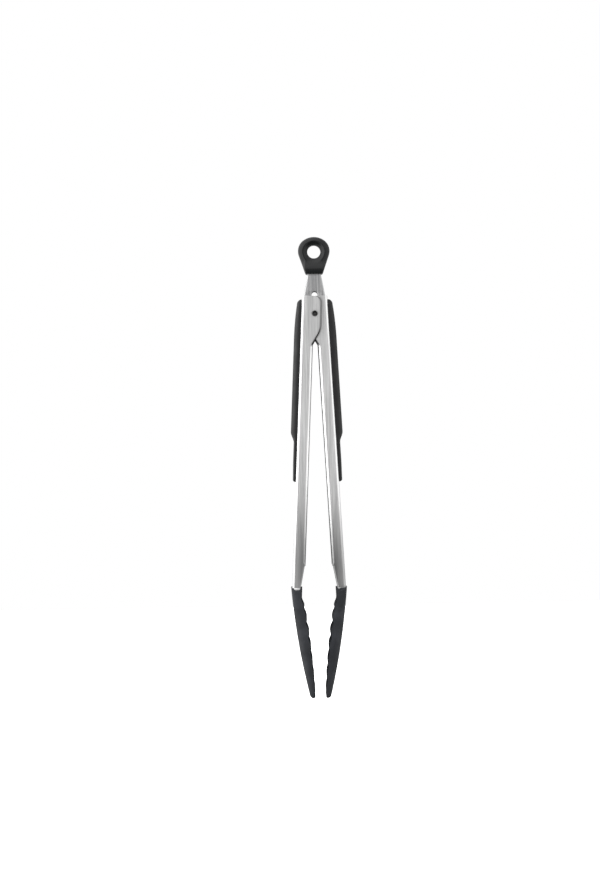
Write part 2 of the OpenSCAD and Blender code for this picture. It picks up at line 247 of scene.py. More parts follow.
def rollShare(z, start):
    # how much of the rolled lip the flange's edge has at a height
    s = armShape
    return float(ramp(s["flankEnd"] - z, 0.0, s["rollRun"]) * ramp(z - s["rollEnd"], start, 3.0))


def armRows():
    s = armShape
    top, corner = s["top"], s["cornerRadius"]
    corners = [top - corner * (1 - math.cos(t)) for t in np.linspace(0, math.pi / 2, 12)]
    flank = list(np.linspace(top - corner, s["flankEnd"] + 0.3, 40)[1:])
    start = list(np.linspace(s["flankEnd"], s["flankEnd"] - 4, 20))
    body = list(np.linspace(s["flankEnd"] - 4, s["rollEnd"] + 3.5, 60)[1:])
    step = list(np.linspace(s["rollEnd"] + 3.5, s["rollEnd"] - 1.5, 20)[1:])
    tail = list(np.linspace(s["rollEnd"] - 1.5, s["ridgeAt"] + 3, 12)[1:])
    tail += list(np.linspace(s["ridgeAt"] + 3, s["steelEnd"] + s["endRound"], 16)[1:])
    end = [s["steelEnd"] + s["endRound"] * (1 - math.sin(t))
           for t in np.linspace(0, math.pi / 2, 8)[1:]]
    return corners + flank + start + body + step + tail + end


def armSection(side, z):
    # half of the channel's skin, from the middle of the web out to the flange's edge
    s = armShape
    half, bend, web = s["width"][side] / 2, s["bend"], -s["webOut"]
    tuck = 0.0
    if z < s["steelEnd"] + s["endRound"]:
        drop = (s["steelEnd"] + s["endRound"] - z) / s["endRound"]
        tuck = s["endRound"] * (1 - math.sqrt(max(0, 1 - drop * drop)))
    # a pressed ridge just above the head's mouth
    ridge = max(0, 1 - ((z - s["ridgeAt"]) / s["ridgeHalf"]) ** 2) * s["ridge"]
    half, web = half - tuck + ridge, web + tuck
    edge = armEdge(side, z)
    roll = rollShare(z, -0.2)
    radius = s["edgeRadius"] + (s["rollRadius"] - s["edgeRadius"]) * roll
    turn = math.radians(s["edgeTurn"] + (s["rollTurn"] - s["edgeTurn"]) * roll)
    start = edge - radius
    thick = s["sheet"]
    points, normals = [], []
    for y in np.linspace(0, half - bend, 9)[:-1]:
        points.append((web, y))
        normals.append((-1, 0))
    for t in np.linspace(math.pi, math.pi / 2, 9):
        n = (math.cos(t), math.sin(t))
        points.append((web + bend + bend * n[0], half - bend + bend * n[1]))
        normals.append(n)
    for x in np.linspace(web + bend, start, 10)[1:]:
        points.append((x, half))
        normals.append((0, 1))
    skin = list(np.array(points) - np.array(normals) * thick)
    high = s["sheet"] - 0.05 + (radius - s["sheet"] + 0.05) * roll
    for t in np.linspace(0, turn, 14)[1:]:
        n = np.array((math.sin(t), math.cos(t)))
        p = np.array((start + radius * n[0], half - high + high * n[1]))
        flat = np.array((p[0], half - thick))
        points.append(tuple(p))
        skin.append(flat + (p - n * thick - flat) * roll)
    return np.array(points), np.array(skin)


def buildArm(side):
    name = "leftArmSheet" if side == left else "rightArmSheet"
    outer, inner = [], []
    for z in armRows():
        p, q = armSection(side, z)
        whole = [np.concatenate([a[:0:-1] * (1, -1), a]) for a in (p, q)]
        for rows, a in ((outer, whole[0]), (inner, whole[1])):
            rows.append(np.column_stack([a, np.full(len(a), z)]))
    points, faces = sheetLoft(np.array(outer), np.array(inner))
    matrix = armMatrix(side)
    arm = makePiece(name, points, faces, matrix, 35)
    hole = cylinderCutter("pinHole", armShape["pinHole"], -20, 20, matrix)
    combine(arm, hole, "DIFFERENCE")
    for z in armShape["studs"]:
        place = matrix @ Matrix.Translation((0, 0, z))
        stud = cylinderCutter("studHole", armShape["studHole"], -12, -8, place, "x")
        combine(arm, stud, "DIFFERENCE")
    soften(arm, 0.16, 2, 60)
    return arm


def paintEdgeShade(obj, side):
    # marks painted shade on the steel's edges: most on the cheek's edge, where it stands over the other
    # arm, less in a fine line on the roll
    s = armShape
    back = np.array(armMatrix(side).inverted())
    co = np.array([v.co[:] for v in obj.data.vertices]) / mm @ back[:3, :3].T + back[:3, 3]
    mark = obj.data.attributes.new("paintedEdgeShade", "FLOAT", "POINT")
    for i, (x, _, z) in enumerate(co):
        depth = armEdge(side, z) - x
        cheekEdgeShade = (0.8 + 0.2 * ramp(-z, 8, 16)) * (1 - ramp(depth - s["edgeRadius"], -0.25, 0.1))
        cheekEdgeShade *= 1 - ramp(s["flankEnd"] - z, 0.0, s["rollRun"])
        line = 0.62 * (1 - ramp(depth, 0.25, 0.6)) * rollShare(z, 0.0)
        mark.data[i].value = float(cheekEdgeShade + line)


leftArmSheet = buildArm(left)
rightArmSheet = buildArm(right)
paintEdgeShade(leftArmSheet, left)
paintEdgeShade(rightArmSheet, right)
say("arms")

# grips
gripShape = {
    "inset": 1.6, "top": 10.3, "step": -90.0, "stepLength": 8.3, "end": -127.9,
    "thick": {left: 5.0, right: 5.25}, "tailThick": {left: 2.55, right: 2.85},
    "topLoss": 1.6, "topRun": 28.0, "topRadius": 2.7, "endRadius": 1.8,
    "crown": 0.9, "corner": 2.5, "topNarrow": 0.80, "topPlan": 5.0, "endNarrow": 0.84, "endPlan": 4.0,
    "coreThick": 1.2, "coreInset": 1.6, "stud": 2.0, "studHead": 3.0,
}


def gripThickness(side, z):
    g = gripShape
    full = g["thick"][side] - g["topLoss"] * (1 - min(1, max(0, (9 - z) / g["topRun"]))) ** 2
    t = full + (g["tailThick"][side] - full) * float(ramp(g["step"] - z, 0, g["stepLength"]))
    t -= 0.25 * float(ramp(-z, 112, 126))
    if z > g["top"] - g["topRadius"]:
        u = (z - g["top"] + g["topRadius"]) / g["topRadius"]
        t -= g["topRadius"] * (1 - math.sqrt(max(0, 1 - u * u)))
    if z < g["end"] + g["endRadius"]:
        u = (g["end"] + g["endRadius"] - z) / g["endRadius"]
        t -= g["endRadius"] * (1 - math.sqrt(max(0, 1 - u * u)))
    return max(t, 0.3)


def rounding(distance, reach, narrow):
    # share of the full width at a distance from a rounded end
    t = min(1, distance / reach)
    return narrow + (1 - narrow) * math.sqrt(max(0, t * (2 - t)))


def gripRows():
    g = gripShape
    topArc = [g["top"] - g["topRadius"] * (1 - math.sin(t)) for t in np.linspace(math.pi / 2, 0, 12)]
    before, after = g["step"] + 8, g["step"] - 12
    body = list(np.linspace(g["top"] - g["topRadius"], before, 60)[1:])
    step = list(np.linspace(before, after, 28)[1:])
    tail = list(np.linspace(after, g["end"] + g["endRadius"], 16)[1:])
    endArc = [g["end"] + g["endRadius"] * (1 - math.sin(t)) for t in np.linspace(0, math.pi / 2, 9)[1:]]
    return topArc + body + step + tail + endArc


def buildGrip(side):
    g = gripShape
    name = "leftGripPad" if side == left else "rightGripPad"
    web = -armShape["webOut"]
    half = armShape["width"][side] / 2 - g["inset"]
    rings = []
    for z in gripRows():
        t = gripThickness(side, z)
        # the ends are rounded in width too
        w = half * min(rounding(g["top"] - z, g["topPlan"], g["topNarrow"]),
                       rounding(z - g["end"], g["endPlan"], g["endNarrow"]))
        r = min(g["corner"], 0.3 + max(0.0, t - 2.2) * 0.85)
        crown = min(g["crown"], t * 0.25)
        ring = [(web + 0.02, -w), (web + 0.02, w)]
        ring += [(web - d, w) for d in np.linspace(0.25, max(0.3, t - crown - r), 4)]
        for a in np.linspace(90, 10, 8):
            c = (web - (t - crown - r), w - r)
            ring.append((c[0] - r * math.cos(math.radians(a)), c[1] + r * math.sin(math.radians(a))))
        for y in np.linspace(w - r * 1.05, -(w - r * 1.05), 25):
            ring.append((web - t + crown * (y / w) ** 2, y))
        for a in np.linspace(10, 90, 8):
            c = (web - (t - crown - r), -(w - r))
            ring.append((c[0] - r * math.cos(math.radians(a)), c[1] - r * math.sin(math.radians(a))))
        ring += [(web - d, -w) for d in np.linspace(max(0.3, t - crown - r), 0.25, 4)]
        rings.append([(x, y, z) for x, y in ring])
    points, faces = ringLoft(np.array(rings))
    return makePiece(name, points, faces, armMatrix(side), 50)


leftGripPad = buildGrip(left)
rightGripPad = buildGrip(right)
say("grips")

# heads
headShape = {
    "length": 83.5, "topZ": -208.0, "back": -11.0, "collarRim": -3.1, "rim": -4.2,
    "backSlope": 0.1235, "backBow": 0.087, "rimSlope": 0.2478, "rimBow": 0.078,
    "collarHalf": 12.4, "widest": 17.0, "widestAt": 0.56, "tipHalf": 11.0,
    "wall": 2.4, "backWall": 3.6, "scallop": 0.66, "pitch": 10.8, "firstScallop": 21.0,
    "round": 0.66, "collarRound": 0.4, "tipRound": 7.0, "dip": 2.3, "rib": 0.35,
    "skinSteps": 41, "lipSteps": 4,
}


def scallopWave(s):
    # round hollows with points between them, about even round zero
    h = headShape
    wave = 2 * abs(math.cos(math.pi * (s - h["firstScallop"]) / h["pitch"])) - 1.27
    fade = ramp(s, 12, 18) * (1 - 0.5 * ramp(s, 34, 52)) * (1 - ramp(s, h["length"] - 8, h["length"] - 3))
    return wave * float(fade)


def headLines(s):
    h = headShape
    back = h["back"] + h["backSlope"] * s + h["backBow"] * s * s / h["length"]
    rim = h["rim"] + h["rimSlope"] * s - h["rimBow"] * s * s / h["length"]
    rim = h["collarRim"] + (rim - h["collarRim"]) * float(ramp(s, 7, 13)) + h["scallop"] * scallopWave(s)
    f = s / h["length"]
    if f < h["widestAt"]:
        half = h["collarHalf"] + (h["widest"] - h["collarHalf"]) * float(ramp(f, 0, h["widestAt"]))
    else:
        half = h["widest"] + (h["tipHalf"] - h["widest"]) * float(ramp(f, h["widestAt"], 1.08))
    t = max(0, s - h["length"] + h["tipRound"]) / h["tipRound"]
    tip = 0.25 + 0.75 * math.sqrt(max(0, 1 - t * t))
    hollow = float(ramp(s, 9, 24) * (1 - ramp(s, h["length"] - 12, h["length"] - 3)))
    solid = rim - 0.5
    floor = solid + (back + h["backWall"] - solid) * hollow
    floor += h["rib"] * hollow * scallopWave(s)
    middle = (back + rim) / 2
    squeeze = math.sqrt(max(0.05, 1 - max(0, (s - h["length"] + 2.2) / 2.2) ** 2))
    back, rim, floor = (middle + (v - middle) * squeeze for v in (back, rim, floor))
    return back, rim, floor, half * tip, h["wall"] * tip


def bowl(v, s):
    # squarer round the steel at the collar, rounder further down
    h = headShape
    power = h["collarRound"] + (h["round"] - h["collarRound"]) * float(ramp(s, 4, 26))
    return math.copysign(abs(v) ** power, v)


def headRing(s):
    h = headShape
    back, rim, floor, half, wall = headLines(s)
    z = h["topZ"] - s
    ring = []
    for a in np.radians(np.linspace(-90, 90, h["skinSteps"])):
        x, y = rim + (back - rim) * bowl(math.cos(a), s), half * bowl(math.sin(a), s)
        share = (x - back) / max(0.1, rim - back)
        side = float(ramp(abs(y) / half, 0.3, 0.6))
        fade = float(1 - ramp(s, 0, 7))
        dip = h["dip"] * side * fade * float(ramp(share, 0.16, 0.34) * (1 - ramp(share, 0.76, 0.9)))
        ring.append((x, y, z - dip))
    lip = wall * 0.5
    for a in np.radians(np.linspace(60, -60, h["lipSteps"])):
        ring.append((rim + lip * 0.45 * math.cos(a), half - lip + lip * math.sin(a), z))
    for a in np.radians(np.linspace(90, -90, h["skinSteps"])):
        ring.append((rim + (floor - rim) * bowl(math.cos(a), s), (half - wall) * bowl(math.sin(a), s), z))
    for a in np.radians(np.linspace(-60, 60, h["lipSteps"])):
        ring.append((rim + lip * 0.45 * math.cos(a), -(half - lip) + lip * math.sin(a), z))
    return ring


def buildHead(side):
    h = headShape
    name = "leftHeadSilicone" if side == left else "rightHeadSilicone"
    tip = h["length"] - h["tipRound"]
    stations = list(np.linspace(0, tip, 110)) + list(np.linspace(tip, h["length"] - 0.05, 24)[1:])
    rings = np.array([headRing(s) for s in stations])
    count, columns = rings.shape[:2]
    faces = gridFaces(count, columns, wrap=True)
    # flat strips close both ends between the outer and the inner skin
    skin, lip = h["skinSteps"], h["lipSteps"]
    last = 2 * skin + lip - 1
    for start in (0, (count - 1) * columns):
        faces += [(start + i, start + i + 1, start + last - i - 1, start + last - i)
                  for i in range(skin - 1)]
        faces.append(tuple(range(start + skin - 1, start + skin + lip + 1)))
        faces.append(tuple(range(start + last, start + columns)) + (start,))
    head = makePiece(name, rings.reshape(-1, 3), faces, armMatrix(side), 50)
    soften(head, 0.45, 3, 48)
    return head


leftHeadSilicone = buildHead(left)
rightHeadSilicone = buildHead(right)
say("heads")

# locking tab
tabShape = {
    "depth": 11.0, "sheet": 0.9, "bend": 1.0,
    "endZ": 35.8, "flareZ": 13.66, "half": 8.1, "taper": 0.1854,
    "wallZ": 9.0, "plateInset": 1.2, "footHalf": 6.0, "footZ": -6.0, "footRound": 3.0,
    "slotRadius": 2.2, "slotLow": -1.5, "slotHigh": 14.9,
}


def tabHalf(z):
    t = tabShape
    if z > t["flareZ"]:
        return t["half"] - t["taper"] * (z - t["flareZ"])
    if z > t["wallZ"]:
        return t["half"]
    return t["footHalf"] + (t["half"] - t["footHalf"]) * float(ramp(z, 0, t["wallZ"]))


def roundedBox(halfX, halfY, r, z):
    ring = []
    for sx, sy, start in ((1, 1, 0), (-1, 1, 90), (-1, -1, 180), (1, -1, 270)):
        ring += [(p[0], p[1], z) for p in arc(sx * (halfX - r), sy * (halfY - r), r, start, start + 90, 6)]
    return ring


def buildTab():
    t = tabShape
    d, s = t["depth"] / 2, t["sheet"]
    rows = list(np.linspace(t["wallZ"], t["flareZ"], 5))
    rows += list(np.linspace(t["flareZ"], t["endZ"], 24)[1:])
    outer = np.array([roundedBox(tabHalf(z), d, t["bend"], z) for z in rows])
    inner = np.array([roundedBox(tabHalf(z) - s, d - s, t["bend"] - s * 0.8, z) for z in rows])
    count, columns = outer.shape[:2]
    n = count * columns
    points = np.concatenate([outer.reshape(-1, 3), inner.reshape(-1, 3)])
    faces = gridFaces(count, columns, wrap=True)
    faces += [f[::-1] for f in gridFaces(count, columns, n, wrap=True)]
    for c in range(columns):
        e = (c + 1) % columns
        for a, b in ((c, e), ((count - 1) * columns + c, (count - 1) * columns + e)):
            faces.append((a, b, b + n, a + n))
    tab = makePiece("lockTabSheet", points, faces, hingeMatrix)
    for side in (-1, 1):
        low = [(z, tabHalf(z)) for z in np.linspace(t["wallZ"] + 1.5, 0, 12)]
        r = t["footRound"]
        low += [(t["footZ"] + r * (1 - math.sin(a)), t["footHalf"] - r * (1 - math.cos(a)))
                for a in np.linspace(0, math.pi / 2, 8)]
        # inside the walls the plate stops short of them
        edge = [(h - (0.0 if z < t["wallZ"] else t["plateInset"]), z) for z, h in low]
        loop = edge + [(-x, z) for x, z in edge[::-1]]
        near, far = side * (d - s), side * d
        rings = np.array([[(x, y, z) for x, z in loop] for y in (near, far)])
        plate = makePiece("tabPlate", *ringLoft(rings), hingeMatrix)
        combine(tab, plate, "UNION")
    r = t["slotRadius"]
    slot = np.concatenate([arc(0, t["slotHigh"], r, 0, 180, 24), arc(0, t["slotLow"], r, 180, 360, 24)])
    rings = np.array([[(x, y, z) for x, z in slot] for y in (-20, 20)])
    combine(tab, makePiece("slotCutter", *ringLoft(rings), hingeMatrix), "DIFFERENCE")
    soften(tab, 0.14, 2, 60)
    return tab


lockTabSheet = buildTab()
say("tab")

# hanging loop
loopShape = {
    "radius": 12.0, "crownRadius": 13.6, "sideRadius": 10.0, "sideZ": 0.7, "hole": 5.0, "thick": 9.6,
    "baseZ": -16.9, "baseHalf": 6.9, "baseRadius": 1.5,
    "baseThick": 14.0, "flareTop": -6.0, "flareLow": -14.5, "rimRound": 4.0, "holeRound": 0.5,
    "dish": 1.5, "dishRun": 3.6, "lowFrom": 8.0, "lowTo": 15.0, "lowRound": 0.9,
}


def loopOutline(count=180):
    s = loopShape
    cx, cz = s["baseHalf"] - s["baseRadius"], s["baseZ"] + s["baseRadius"]
    sx, sz, r = s["radius"] - s["sideRadius"], s["sideZ"], s["sideRadius"]
    crownZ = sz - math.sqrt((s["crownRadius"] - r) ** 2 - sx ** 2)
    join = math.degrees(math.atan2(sz - crownZ, sx))
    far = math.hypot(cx - sx, cz - sz)
    lean = math.degrees(math.atan2(cx - sx, sz - cz) - math.asin((r - s["baseRadius"]) / far))
    line = np.concatenate([
        arc(sx, sz, r, lean, join, 40), arc(0, crownZ, s["crownRadius"], join, 180 - join, 40)[1:-1],
        arc(-sx, sz, r, 180 - join, 180 - lean, 40),
        arc(-cx, cz, s["baseRadius"], 180 - lean, 270, 12),
        arc(cx, cz, s["baseRadius"], -90, lean, 12)])
    line = np.concatenate([line, line[:1]])
    along = np.concatenate([[0], np.cumsum(np.linalg.norm(np.diff(line, axis=0), axis=1))])
    at = np.linspace(0, along[-1], count, endpoint=False)
    return np.stack([np.interp(at, along, line[:, i]) for i in (0, 1)], axis=1)


def buildLoop():
    s = loopShape
    rings = []
    for x, z in loopOutline():
        outerPoint = np.array([x, z])
        distance = np.linalg.norm(outerPoint)
        holePoint = outerPoint / distance * s["hole"]
        span = distance - s["hole"]
        direction = outerPoint / distance
        profile = []
        # from the hole's wall over the face to the rim, as (distance from the hole, drop below the face)
        for a in np.linspace(0, 90, 6):
            r = s["holeRound"]
            profile.append((r - r * math.cos(math.radians(a)), -r + r * math.sin(math.radians(a))))
        low = float(ramp(-z, s["lowFrom"], s["lowTo"]))
        rim = min(s["rimRound"], span * 0.5) * (1 - low) + s["lowRound"] * low
        for d in np.linspace(s["holeRound"], span - rim, 10)[1:]:
            profile.append((d, 0))
        for t in np.linspace(0, 1, 9)[1:]:
            # a sloping band that rounds over at the outline
            profile.append((span - rim + rim * t ** 0.9, -rim * (0.5 * t + 0.34 * t ** 6)))
        front = []
        for d, lower in profile:
            at = holePoint + direction * d
            flare = float(ramp(-at[1], -s["flareTop"], -s["flareLow"]))
            thick = s["thick"] / 2 + (s["baseThick"] - s["thick"]) / 2 * flare
            dish = s["dish"] * (1 - float(ramp(d, 0.3, s["dishRun"]))) * (1 - flare)
            front.append((at[0], -(thick + lower - dish), at[1]))
        ring = front + [(p[0], -p[1], p[2]) for p in front[::-1]]
        rings.append(ring)
    points, faces = ringLoft(np.array(rings), closed=True)
    return makePiece("hangLoopMoulding", points, faces, None, 55)


hangLoopMoulding = buildLoop()
say("loop")

# hinge pin
pinShape = {"radius": 2.0, "head": 2.2, "headThick": 0.38, "bore": 1.6, "mouth": 1.9, "boreDepth": 4.2,
            "rimRise": 0.14, "cheekGap": 0.04}


def buildPin():
    p = pinShape
    face = armShape["width"][left] / 2 + p["cheekGap"]
    top = face + p["headThick"]
    bore, mouth, head, rise = p["bore"], p["mouth"], p["head"], p["rimRise"]
    side = [(0.001, top - p["boreDepth"]), (bore, top - p["boreDepth"]), (bore, top - 1.0)]
    side += [(bore + (mouth - bore) * t ** 2.2, top - 1.0 + (1 - rise) * t) for t in (0.3, 0.6, 0.85, 1.0)]
    mid, r = (mouth + head) / 2, (head - mouth) / 2
    side += [(mid - r * math.cos(a), top - rise + rise * math.sin(a))
             for a in np.linspace(0.4, math.pi - 0.2, 7)]
    side += [(head, face + 0.06), (head - 0.1, face), (p["radius"], face), (p["radius"], 0)]
    profile = side + [(a, -b) for a, b in side[::-1][1:]]
    points, faces = turned(profile, 64)
    return makePiece("hingePinTurned", points, faces, hingeMatrix, 40)


hingePinTurned = buildPin()
say("pin")

# torsion spring: Geometry Nodes coil, legs that turn with the arms
springShape = {"wire": 0.7, "radius": 4.4, "pitch": 1.5, "turns": 3, "legDrop": 28.0, "legGap": 0.25}


def springNumbers():
    s = springShape
    a = math.radians(restAngle)
    webX = (armShape["webOut"] - armShape["sheet"]) * math.cos(a) + s["legDrop"] * math.sin(a)
    legX = webX - s["wire"] - s["legGap"]
    out = math.hypot(legX, s["legDrop"])
    turn = math.degrees(math.acos(s["radius"] / out) - math.atan2(legX, s["legDrop"]))
    return legX, 90 + turn, 360 * s["turns"] + 2 * turn


def newTree(name, inputs):
    tree = bpy.data.node_groups.new(name, "GeometryNodeTree")
    tree.interface.new_socket("Geometry", in_out="OUTPUT", socket_type="NodeSocketGeometry")
    ids = {}
    for key, kind, value in inputs:
        socket = tree.interface.new_socket(key, in_out="INPUT", socket_type=kind)
        if value is not None:
            socket.default_value = value
        ids[key] = socket.identifier
    return tree, ids


def addNode(tree, kind, settings=None, values=None):
    node = tree.nodes.new(kind)
    for key, value in (settings or {}).items():
        setattr(node, key, value)
    for key, value in (values or {}).items():
        if isinstance(value, bpy.types.NodeSocket):
            tree.links.new(value, node.inputs[key])
        else:
            node.inputs[key].default_value = value
    return node


def closeTree(tree, geometry, material):
    real = addNode(tree, "GeometryNodeRealizeInstances", None, {"Geometry": geometry})
    paint = addNode(tree, "GeometryNodeSetMaterial", None, {
        "Geometry": real.outputs["Geometry"], "Material": material})
    addNode(tree, "NodeGroupOutput", None, {"Geometry": paint.outputs["Geometry"]})


def coilTree(material):
    tree, ids = newTree("springCoil", [
        ("Turns", "NodeSocketFloat", 3.0), ("Radius", "NodeSocketFloat", 0.0044),
        ("Height", "NodeSocketFloat", 0.005), ("Wire", "NodeSocketFloat", 0.0007)])
    given = addNode(tree, "NodeGroupInput").outputs
    spiral = addNode(tree, "GeometryNodeCurveSpiral", None, {
        "Resolution": 40, "Rotations": given["Turns"], "Start Radius": given["Radius"],
        "End Radius": given["Radius"], "Height": given["Height"]})
    wire = addNode(tree, "GeometryNodeCurvePrimitiveCircle", None, {
        "Resolution": 14, "Radius": given["Wire"]})
    skin = addNode(tree, "GeometryNodeCurveToMesh", None, {
        "Curve": spiral.outputs["Curve"], "Profile Curve": wire.outputs["Curve"], "Fill Caps": True})
    closeTree(tree, skin.outputs["Mesh"], material)
    return tree, ids


def buildCoil(material):
    s = springShape
    _, start, sweep = springNumbers()
    obj = bpy.data.objects.new("springCoil", bpy.data.meshes.new("springCoil"))
    bpy.context.scene.collection.objects.link(obj)
    tree, ids = coilTree(material)
    nodes = obj.modifiers.new("coil", "NODES")
    nodes.node_group = tree
    height = s["pitch"] * sweep / 360
    for key, value in (("Turns", sweep / 360), ("Radius", s["radius"] * mm),
                       ("Height", height * mm), ("Wire", s["wire"] * mm)):
        nodes[ids[key]] = float(value)
    mesh = bake(obj, 60).data
    # the spiral climbs +z anticlockwise from +x: lay it along y, with its first end at the left leg
    spin = Matrix.Rotation(math.radians(90), 4, "X")
    flip = Matrix.Rotation(math.radians(-start), 4, "Y")
    shift = Matrix.Translation((0, height / 2 * mm, 0))
    mesh.transform(Matrix.Translation((0, 0, hingeZ * mm)) @ flip @ shift @ spin)
    return obj


def sweptWire(name, path, radius, sides=14):
    path = np.array(path, float)
    rings = []
    for i, p in enumerate(path):
        t = path[min(i + 1, len(path) - 1)] - path[max(i - 1, 0)]
        t /= np.linalg.norm(t)
        side = np.cross(t, (0, 1, 0))
        side /= np.linalg.norm(side)
        up = np.cross(side, t)
        rings.append([p + radius * (math.cos(a) * side + math.sin(a) * up)
                      for a in np.linspace(0, 2 * math.pi, sides, endpoint=False)])
    points, faces = ringLoft(np.array(rings))
    return makePiece(name, points, faces, hingeMatrix, 60)


def buildLegs():
    s = springShape
    legX, start, sweep = springNumbers()
    half = s["pitch"] * sweep / 720
    legs = []
    for side, name in ((left, "springLegLeft"), (right, "springLegRight")):
        path = []
        for back in np.linspace(16, 0, 9):
            a = math.radians(start - back)
            y = -half + s["pitch"] * back / 360
            path.append((s["radius"] * math.cos(a), y, s["radius"] * math.sin(a)))
        end = np.array((-legX, -half, -s["legDrop"]))
        first = np.array(path[-1])
        path += [tuple(first + (end - first) * t) for t in np.linspace(0, 1, 18)[1:]]
        points = [(p[0], p[1], p[2]) if side == left else (-p[0], -p[1], p[2]) for p in path]
        legs.append(sweptWire(name, points, s["wire"] * 0.99))
    return legs


# grip cores: a strip with snap studs placed by Geometry Nodes
def studTree(material):
    tree, ids = newTree("snapStuds", [
        ("Count", "NodeSocketInt", 3), ("Spacing", "NodeSocketFloat", 0.03),
        ("Stud", "NodeSocketObject", None)])
    given = addNode(tree, "NodeGroupInput").outputs
    line = addNode(tree, "GeometryNodeMeshLine", {"mode": "OFFSET"}, {"Count": given["Count"]})
    offset = addNode(tree, "ShaderNodeCombineXYZ")
    down = addNode(tree, "ShaderNodeMath", {"operation": "MULTIPLY"}, {0: given["Spacing"], 1: -1.0})
    tree.links.new(down.outputs[0], offset.inputs["Z"])
    tree.links.new(offset.outputs[0], line.inputs["Offset"])
    info = addNode(tree, "GeometryNodeObjectInfo", None, {"Object": given["Stud"]})
    place = addNode(tree, "GeometryNodeInstanceOnPoints", None, {
        "Points": line.outputs["Mesh"], "Instance": info.outputs["Geometry"]})
    closeTree(tree, place.outputs["Instances"], material)
    return tree, ids


def buildCore(side, material):
    g, a = gripShape, armShape
    name = "leftGripStrip" if side == left else "rightGripStrip"
    web = -a["webOut"]
    half = a["width"][side] / 2 - g["inset"] - g["coreInset"]
    low, high = g["end"] + 3, g["top"] - 3
    rings = np.array([[(web - g["coreThick"], -half, z), (web - g["coreThick"], half, z),
                       (web, half, z), (web, -half, z)] for z in np.linspace(high, low, 12)])
    strip = makePiece(name, *ringLoft(rings), armMatrix(side))
    inside = web + a["sheet"]
    r, head = g["stud"], g["studHead"]
    # a stem through the web and a domed snap head behind it, as (radius, height) pairs
    profile = [(0.001, web - 0.4), (r, web - 0.4), (r, inside), (head, inside),
               (head + 0.05, inside + 0.3), (head - 0.3, inside + 0.75), (r - 0.1, inside + 1.0),
               (r / 2, inside + 1.08), (0.001, inside + 1.1)]
    points, faces = turned(profile, 32)
    points = points[:, [1, 0, 2]] + (0, 0, a["studs"][0])
    stud = makePiece("studShape", points, faces, None)
    line = bpy.data.objects.new("studLine", bpy.data.meshes.new("studLine"))
    bpy.context.scene.collection.objects.link(line)
    tree, ids = studTree(material)
    nodes = line.modifiers.new("studs", "NODES")
    nodes.node_group = tree
    nodes[ids["Count"]] = len(a["studs"])
    nodes[ids["Spacing"]] = (a["studs"][0] - a["studs"][1]) * mm
    nodes[ids["Stud"]] = stud
    graph = bpy.context.evaluated_depsgraph_get()
    studs = bpy.data.meshes.new_from_object(line.evaluated_get(graph))
    studs.transform(Matrix.Scale(mm, 4) @ armMatrix(side) @ Matrix.Scale(1 / mm, 4))
    bm = bmesh.new()
    bm.from_mesh(strip.data)
    bm.from_mesh(studs)
    bm.to_mesh(strip.data)
    bm.free()
    tidyMesh(strip.data)
    sharpen(strip.data, 40)
    for extra in (line, stud):
        bpy.data.objects.remove(extra)
    soften(strip, 0.2, 2, 60)
    return strip


# materials
class Wire:
    # wraps a socket so that shader maths reads as arithmetic
    def __init__(self, kit, socket):
        self.kit, self.socket = kit, socket

    def combine(self, operation, other, swapped=False):
        a, b = (other, self) if swapped else (self, other)
        return self.kit.maths(operation, a, b)

    def __add__(self, other):
        return self.combine("ADD", other)

    def __radd__(self, other):
        return self.combine("ADD", other, True)

    def __sub__(self, other):
        return self.combine("SUBTRACT", other)

    def __rsub__(self, other):
        return self.combine("SUBTRACT", other, True)

    def __mul__(self, other):
        return self.combine("MULTIPLY", other)

    def __rmul__(self, other):
        return self.combine("MULTIPLY", other, True)

    def __pow__(self, other):
        return self.combine("POWER", other)


class Shader:
    # builds the nodes of a material or of the world
    def __init__(self, name, store=bpy.data.materials):
        self.owner = store.new(name)
        self.owner.use_nodes = True
        self.tree = self.owner.node_tree
        self.tree.nodes.clear()

    def node(self, kind, settings=None, sockets=None, output=0):
        made = self.tree.nodes.new(kind)
        for key, value in (settings or {}).items():
            setattr(made, key, value)
        for key, value in (sockets or {}).items():
            if isinstance(value, Wire):
                self.tree.links.new(value.socket, made.inputs[key])
            else:
                made.inputs[key].default_value = value
        return Wire(self, made.outputs[output]) if made.outputs else None

    def maths(self, operation, a, b):
        return self.node("ShaderNodeMath", {"operation": operation}, {0: a, 1: b})

    def spots(self, low, high, value, start=0.0, end=1.0):
        return self.node("ShaderNodeMapRange", {"interpolation_type": "SMOOTHSTEP"}, {
            "Value": value, "From Min": low, "From Max": high, "To Min": start, "To Max": end})

    def place(self, scale, turn=0.0):
        at = self.node("ShaderNodeTexCoord", None, None, "Object")
        return self.node("ShaderNodeMapping", None, {
            "Vector": at, "Rotation": (0, math.radians(turn), 0), "Scale": scale})

    def noise(self, where, scale, detail=3.0, rough=0.55):
        return self.node("ShaderNodeTexNoise", None, {
            "Vector": where, "Scale": scale, "Detail": detail, "Roughness": rough})

    def mix(self, factor, a, b):
        return self.node("ShaderNodeMix", {"data_type": "RGBA"}, {"Factor": factor, 6: a, 7: b}, 2)

    def blend(self, factor, a, b):
        return self.node("ShaderNodeMix", {"data_type": "FLOAT"}, {"Factor": factor, "A": a, "B": b})

    def shade(self, colour, factor):
        return self.node("ShaderNodeVectorMath", {"operation": "SCALE"}, {0: colour, "Scale": factor})

    def bump(self, height, distance, strength):
        return self.node("ShaderNodeBump", None, {
            "Height": height, "Distance": distance, "Strength": strength})

    def finish(self, settings):
        surface = self.node("ShaderNodeBsdfPrincipled", None, settings)
        self.node("ShaderNodeOutputMaterial", None, {"Surface": surface})
        return self.owner


# the last entry of steelLook is the painted shade that darkens each arm's steel towards its head, more on
# the right arm
steelLook = {
    "light": (0.86, 0.86, 0.855, 1), "dark": (0.62, 0.62, 0.62, 1), "rough": 0.27, "roughSpread": 0.12,
    "paintedHeadShade": {left: 0.38, right: 0.5},
}


